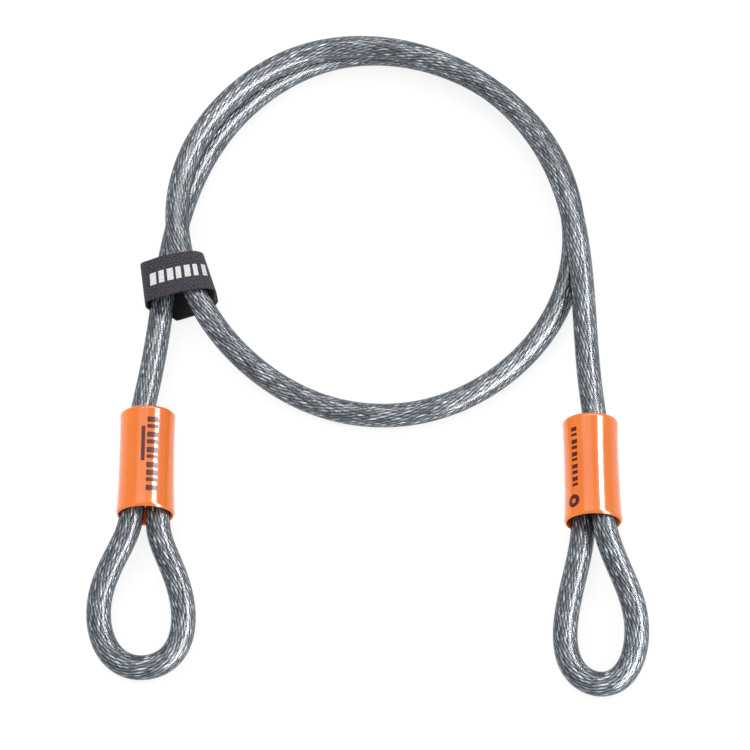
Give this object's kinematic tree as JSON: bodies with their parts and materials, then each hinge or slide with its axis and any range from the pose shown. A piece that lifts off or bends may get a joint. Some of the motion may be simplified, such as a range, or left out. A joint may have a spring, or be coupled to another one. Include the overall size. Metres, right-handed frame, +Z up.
{
  "type": "cable lock",
  "caption": "Double-loop security cable: wire rope in a clear jacket, a swaged eye with an orange cover at each end, coiled and held by a hook-and-loop strap.",
  "frame": {"origin": "middle of the footprint, on the surface the part lies on", "axes": "+Z up from that surface; +Y from the two eyes towards the ring; +X from the left eye to the right eye"},
  "size_m": [0.2282, 0.3028, 0.0254],
  "materials": {
    "jacket": "glossy clear vinyl",
    "rope": "galvanised, twisted strands",
    "ferrule": "pressed",
    "cover": "glossy soft vinyl",
    "loop_tape": "woven",
    "hook_tape": "fine hooks"
  },
  "bodies": {
    "coil": {"jacket_coil": "jacket", "rope_coil": "rope"},
    "left_end": {"jacket_left_leg": "jacket", "rope_left_leg": "rope", "jacket_left_eye": "jacket", "rope_left_eye": "rope", "ferrule_left": "ferrule", "cover_left": "cover"},
    "right_end": {"jacket_right_leg": "jacket", "rope_right_leg": "rope", "jacket_right_eye": "jacket", "rope_right_eye": "rope", "ferrule_right": "ferrule", "cover_right": "cover"},
    "strap": {"strap_loop_tape": "loop_tape", "strap_hook_tape": "hook_tape"},
    "strap_tail": {"strap_tail_loop_tape": "loop_tape", "strap_tail_hook_tape": "hook_tape"}
  },
  "joints": [
    {"name": "left_end_swing", "type": "hinge", "parent": "coil", "child": "left_end", "pos_m": [-0.09078, -0.00961, 0.01108], "axis": [0, 0, 1], "range_deg": [-20, 20], "stiffness_Nm_per_rad": 0.3, "deforming": ["jacket_left_leg", "rope_left_leg"]},
    {"name": "right_end_swing", "type": "hinge", "parent": "coil", "child": "right_end", "pos_m": [0.09243, -0.0014, 0.01288], "axis": [0, 0, 1], "range_deg": [-20, 20], "stiffness_Nm_per_rad": 0.3, "deforming": ["jacket_right_leg", "rope_right_leg"]},
    {"name": "strap_slide", "type": "slide", "parent": "coil", "child": "strap", "axis": [-0.23, 0.9732, 0], "range_m": [0, 0.009]},
    {"name": "strap_peel", "type": "hinge", "parent": "strap", "child": "strap_tail", "pos_m": [-0.06961, 0.03219, 0.00292], "axis": [-0.2989, 0.9543, 0], "range_deg": [0, 75]}
  ]
}
